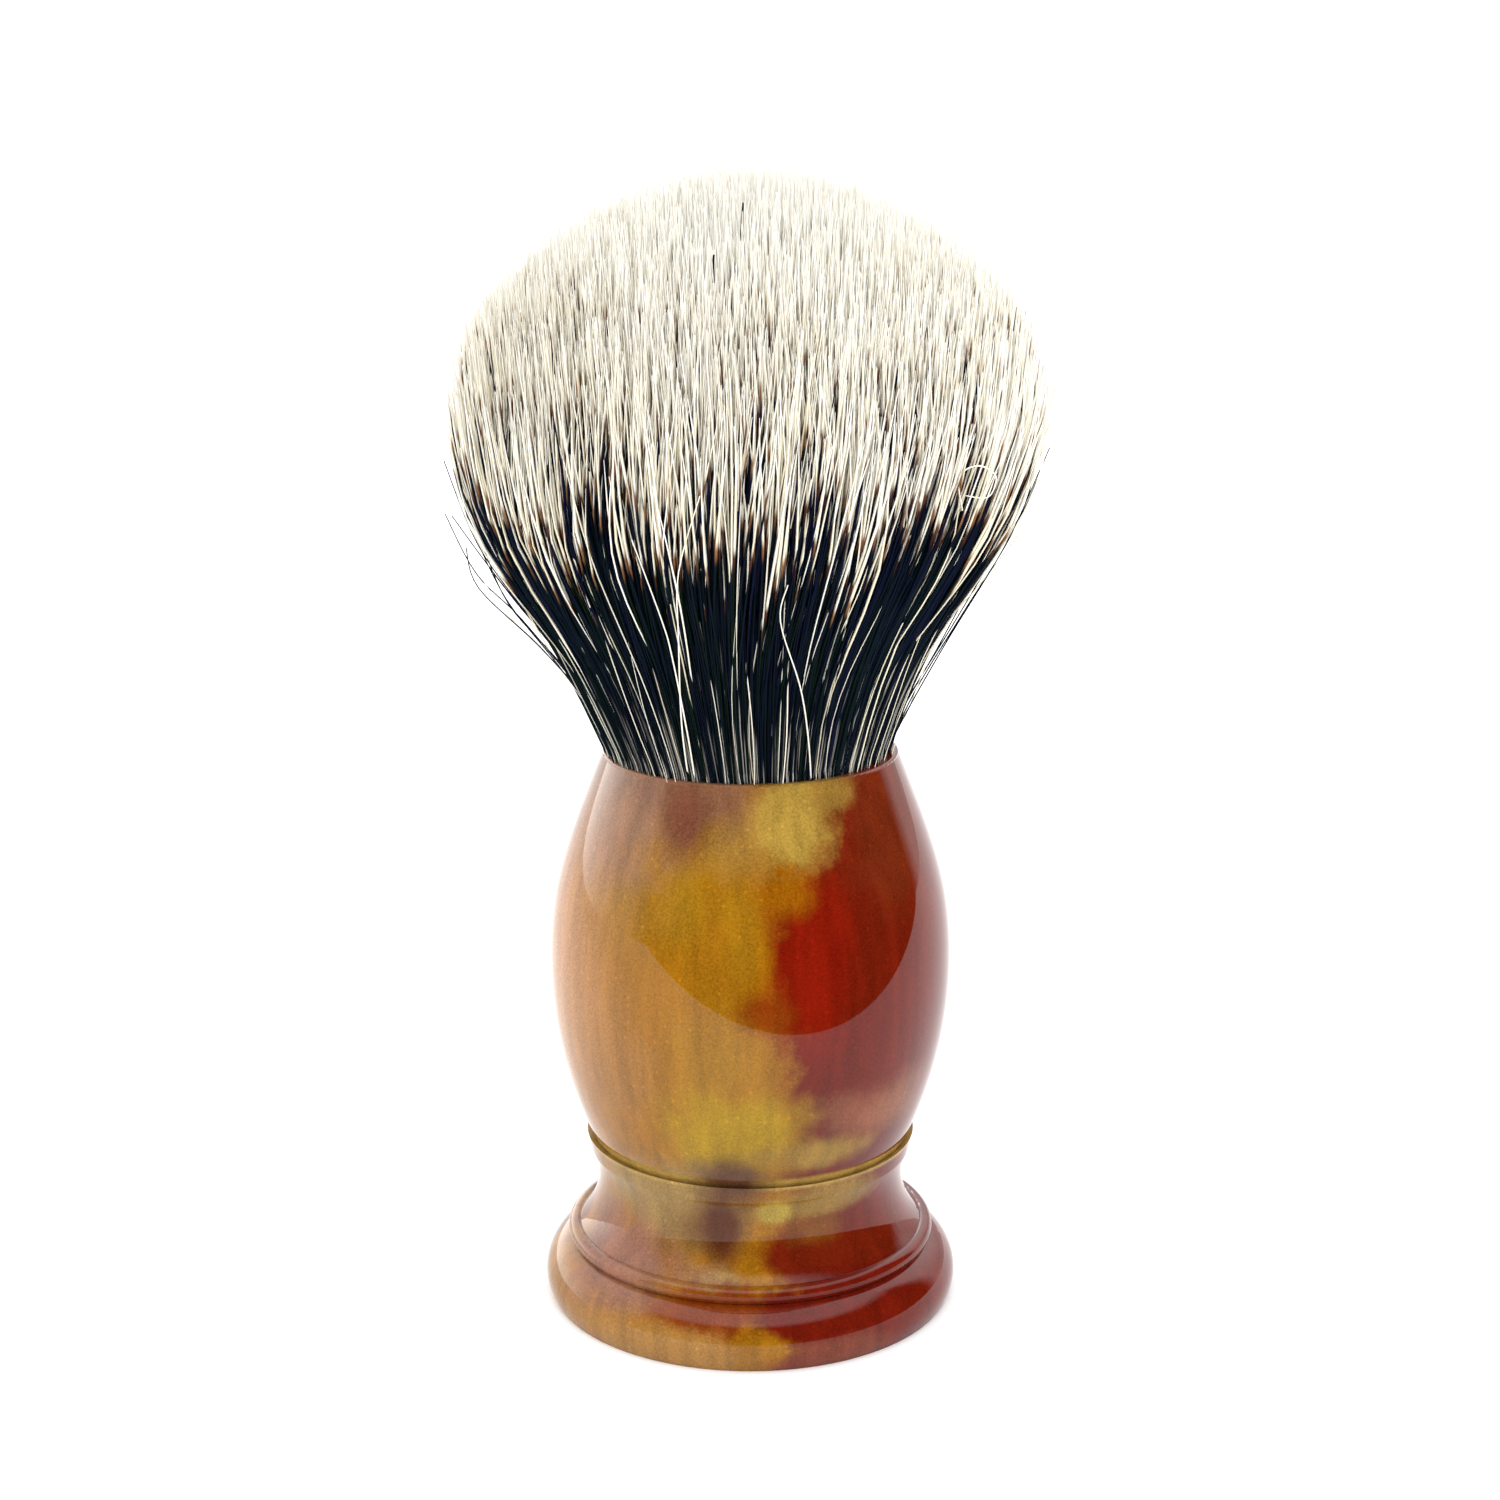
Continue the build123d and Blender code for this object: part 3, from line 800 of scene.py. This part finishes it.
# single hairs that stand out: points in mm from the lip outwards
looseHairs = [
    # left side, dark and crossing
    {"dark": True, "points": [(-13, -3, 55), (-14.9, -3, 60), (-18.2, -2, 65), (-24, -1, 72.4),
                              (-28, 0, 77.8)]},
    {"dark": True, "points": [(-13, 0, 55), (-15, 0, 60), (-19.2, 0, 66), (-23.5, 1, 72), (-27, 1, 79.5)]},
    {"dark": True, "points": [(-12.5, -4, 55), (-14.8, -5, 60), (-18, -6, 65), (-22.5, -6, 71),
                              (-25.5, -5, 77)]},
    {"dark": True, "points": [(-13, 2, 55), (-15, 2.5, 60), (-19.4, 3, 66), (-24.8, 3, 73.5),
                              (-26.3, 3, 81)]},
    {"dark": True, "points": [(-13, -1, 55), (-15.6, -3, 61), (-21.2, -4, 68.6), (-25.4, -4, 73),
                              (-28.3, -3, 78.5)]},
    {"dark": True, "points": [(-13, 1, 55), (-15.8, 0, 61.5), (-20.8, 0, 68), (-25.6, 0, 75),
                              (-28.6, 0, 83)]},
    {"dark": True, "points": [(-12.5, -3, 55), (-15.2, -5, 61), (-19.4, -8, 67), (-24.8, -8, 72.4),
                              (-26, -7, 76)]},
    {"dark": True, "points": [(-13, 0, 55), (-14.8, 0, 59.5), (-18.6, -1, 64.6), (-22.8, -1, 69.6),
                              (-25.2, -1, 75.5)]},
    {"dark": True, "points": [(-13, 1, 55), (-14.7, 1, 59), (-18, 2, 64), (-21.6, 2, 68.2),
                              (-24.6, 2, 72.2)]},
    {"dark": False, "points": [(-12.8, -4, 55), (-14.8, -5, 60), (-19, -6, 66), (-23, -7, 70.5),
                               (-26.2, -6, 76)]},
    # right side, smooth along the outline
    {"dark": True, "points": [(13, 0, 55), (15, 0, 60), (18.9, 0, 66.8), (22.2, 0, 72.6),
                              (25.6, 0, 78.4), (28.4, 0, 90)]},
    {"dark": True, "points": [(13, -1, 55), (15.6, -1, 61), (19.8, -2, 68.6), (24.4, -2, 76.4),
                              (27.7, -2, 84.5)]},
    {"dark": True, "points": [(13, 1, 55), (14.7, 1, 59), (17.7, 1.5, 64.4), (21.2, 2, 71),
                              (26.4, 2, 80.5)]},
    {"dark": True, "points": [(12.6, -3, 55), (14.8, -4, 60), (18.4, -5, 67), (23.4, -6, 76),
                              (26.4, -6, 83)]},
    # pale hairs over the dark band, and one curled at the right
    {"dark": False, "points": [(-5.6, -11.6, 55), (-6.1, -17.4, 62), (-6.2, -22, 70.5), (-6.1, -24.6, 77),
                               (-4.2, -27.2, 84)]},
    {"dark": False, "points": [(5.6, -11.8, 55), (5.2, -17, 60.5), (4.4, -20.4, 66), (2.6, -23.4, 72.5),
                               (3.2, -25, 76)]},
    {"dark": False, "points": [(-5, -12, 55), (-5.6, -17, 61), (-6.8, -21.4, 69), (-7.6, -23, 72.5),
                               (-10, -25.6, 80)]},
    {"dark": False, "points": [(18.4, -18.9, 81.4), (18.0, -19.6, 84.4), (19.6, -19.6, 85.4),
                               (21.2, -19, 84.4), (20.6, -18.9, 82.6), (18.6, -19.4, 82.8)]},
    # dark ends in the pale dome
    {"dark": True, "width": 1.7, "points": [(-0.8, -14.0, 103.6), (-0.7, -14.4, 105.6),
                                            (-0.6, -14.6, 107.4)]},
    {"dark": True, "width": 1.7, "points": [(-3.1, -19.6, 101.0), (-3.1, -20.0, 102.6),
                                            (-3.05, -20.2, 103.4)]},
]
looseHairWidth = 0.095  # mm, radius
looseTaper = 0.35
looseMap = {
    "dark": 40.5,  # columns of the hair map
    "pale": 3.5,
    "depth": (0.26, 0.22),  # heights on the map, at the root and at the tip
}


def between(before, start, end, after, t):
    # one coordinate on a smooth curve from start to end
    bend = 2 * before - 5 * start + 4 * end - after
    twist = 3 * start - before - 3 * end + after
    return 0.5 * (2 * start + (end - before) * t + bend * t * t + twist * t ** 3)


def smoothPath(points, pieces):
    # a curve through all the points, each span cut into equal pieces
    padded = [points[0], *points, points[-1]]
    path = []
    for before, start, end, after in zip(padded, padded[1:], padded[2:], padded[3:]):
        for piece in range(pieces):
            t = piece / pieces
            path.append(Vector([between(*corners, t) for corners in zip(before, start, end, after)]))
    return path + [Vector(points[-1])]


def addLooseHair(work, layer, hair):
    path = smoothPath(hair["points"], 6)
    column = looseMap["dark"] if hair["dark"] else looseMap["pale"]
    rootDepth, tipDepth = looseMap["depth"]
    rings = []
    for number, middle in enumerate(path):
        share = number / (len(path) - 1)
        radius = looseHairWidth * hair.get("width", 1.0) * (1.0 - looseTaper * share)
        away = path[min(number + 1, len(path) - 1)] - path[max(number - 1, 0)]
        side = away.cross(Vector((0, 1, 0))).normalized()
        front = side.cross(away).normalized()
        ring = []
        for corner in range(3):
            angle = 2 * math.pi * corner / 3
            spot = middle + (side * math.cos(angle) + front * math.sin(angle)) * radius
            ring.append(work.verts.new(spot * mm))
        rings.append((ring, rootDepth + (tipDepth - rootDepth) * share))
    for (low, lowDepth), (high, highDepth) in zip(rings, rings[1:]):
        for corner in range(3):
            after = (corner + 1) % 3
            face = work.faces.new((low[corner], low[after], high[after], high[corner]))
            spots = ((corner, lowDepth), (corner + 1, lowDepth),
                     (corner + 1, highDepth), (corner, highDepth))
            for loop, (step, depth) in zip(face.loops, spots):
                loop[layer].uv = ((column - 0.3 + 0.2 * step) / bandColumns, depth)
    work.faces.new(reversed(rings[0][0]))
    work.faces.new(rings[-1][0])


def makeLooseHairs():
    def build(work):
        layer = work.loops.layers.uv.new("OFBake")
        for hair in looseHairs:
            addLooseHair(work, layer, hair)
    piece = meshPiece("hair_loose", build)
    piece.data.materials.append(hairMaterial)
    finishHair(piece)


makeLooseHairs()


studio = {
    "paperTurn": 27.0,  # degrees, the white paper lies askew under the brush
    "paperEdge": 0.093,  # metres from the brush to the paper's near edge
    "lightAbove": 2.3,
    "lightLevel": 1.7,
    "gleamAbove": 2.4,  # what polished surfaces see
    "gleamLevel": 1.6,
    "gleamLeft": 4.2,
    "gleamRight": 1.0,
    # the dark room that polished surfaces see, in degrees round and as a share of height
    "roomLeft": (-78.0, -60.0),
    "roomRight": (112.0, 126.0),
    "roomTop": (0.66, 0.82),
    # where the gleam at the left and at the right sets in, likewise
    "gleamLeftEdge": (-130.0, -80.0),
    "gleamRightEdge": (110.0, 140.0),
    "gleamTop": (0.15, 0.5),
}


def makeFloor():
    turn = math.radians(studio["paperTurn"])
    outward = (math.sin(turn), -math.cos(turn))
    sideways = (math.cos(turn), math.sin(turn))
    corners = []
    for away, along in ((studio["paperEdge"], -2), (studio["paperEdge"], 2), (-4, 2), (-4, -2)):
        corners.append((outward[0] * away + sideways[0] * along,
                        outward[1] * away + sideways[1] * along, 0))

    def build(work):
        work.faces.new([work.verts.new(corner) for corner in corners])
    floor = meshPiece("floor", build)
    material, tree, shader = newMaterial("paleFloor")
    shader.inputs["Base Color"].default_value = (0.82, 0.82, 0.82, 1)
    shader.inputs["Roughness"].default_value = 0.7
    shader.inputs["Specular IOR Level"].default_value = 0.2
    floor.data.materials.append(material)


def makeWorld():
    world = bpy.data.worlds.new("studio")
    bpy.context.scene.world = world
    world.use_nodes = True
    tree = world.node_tree
    tree.nodes.clear()
    place = addNode(tree, "ShaderNodeTexCoord")
    seen = addNode(tree, "ShaderNodeLightPath")
    parts = addNode(tree, "ShaderNodeSeparateXYZ", {0: place.outputs["Generated"]})
    towardsCamera = calc(tree, "MULTIPLY", parts.outputs["Y"], -1.0)
    turn = calc(tree, "ARCTAN2", parts.outputs["X"], towardsCamera)
    bearing = calc(tree, "MULTIPLY", turn, 180 / math.pi)
    height = parts.outputs["Z"]
    soft = remap(tree, height, 0.0, 0.9, studio["lightLevel"], studio["lightAbove"])

    # polished surfaces also show the dark room behind the camera
    leftEdge = remap(tree, bearing, *studio["roomLeft"], smooth=True)
    rightEdge = remap(tree, bearing, *studio["roomRight"], 1.0, 0.0, smooth=True)
    topEdge = remap(tree, height, *studio["roomTop"], 1.0, 0.0, smooth=True)
    room = calc(tree, "MULTIPLY", calc(tree, "MULTIPLY", leftEdge, rightEdge), topEdge)
    left = remap(tree, bearing, *studio["gleamLeftEdge"], studio["gleamLeft"], studio["gleamLevel"],
                 smooth=True)
    sides = remap(tree, bearing, *studio["gleamRightEdge"], left, studio["gleamRight"], smooth=True)
    upwards = remap(tree, height, *studio["gleamTop"], sides, studio["gleamAbove"])
    gleam = calc(tree, "MULTIPLY", upwards, calc(tree, "SUBTRACT", 1.0, room))
    glossy = addNode(tree, "ShaderNodeMix", {0: seen.outputs["Is Glossy Ray"], 2: soft, 3: gleam},
                     data_type="FLOAT").outputs[0]
    background = addNode(tree, "ShaderNodeBackground", {"Color": (1, 1, 1, 1), "Strength": glossy})
    addNode(tree, "ShaderNodeOutputWorld", {"Surface": background.outputs[0]})


makeFloor()
makeWorld()
bpy.context.scene.view_settings.view_transform = "Standard"
print("stage 4: studio")
